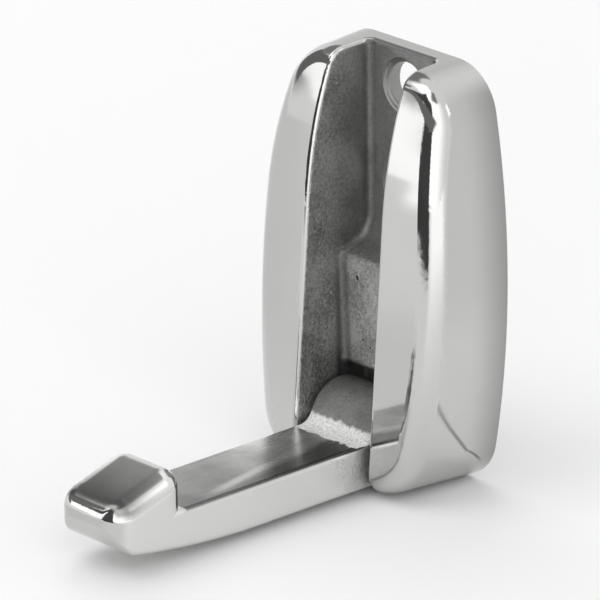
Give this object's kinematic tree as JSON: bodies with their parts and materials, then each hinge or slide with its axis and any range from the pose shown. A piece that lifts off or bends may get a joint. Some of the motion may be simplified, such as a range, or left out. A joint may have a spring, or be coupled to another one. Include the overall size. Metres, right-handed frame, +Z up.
{
  "type": "folding clothes hook",
  "caption": "Cast stainless steel wall hook with a hinged arm that folds up into an open channel in its domed base.",
  "frame": {"origin": "middle of the flat back face, on the wall plane", "axes": "+X to the right seen from the front, +Y into the wall, +Z up"},
  "size_m": [0.0348, 0.0602, 0.059],
  "materials": {
    "base_steel": "mirror polished outside, satin as-cast inside the channel",
    "arm_steel": "polished sides and nose, satin top and knuckle",
    "pin_steel": "ground flush and polished"
  },
  "bodies": {
    "base": {"base_body": "base_steel", "hinge_pin": "pin_steel"},
    "arm": {"folding_arm": "arm_steel"}
  },
  "joints": [
    {"name": "arm_fold", "type": "hinge", "parent": "base", "child": "arm", "pos_m": [0, -0.00895, -0.0227], "axis": [-1, 0, 0], "range_deg": [0, 90]}
  ]
}
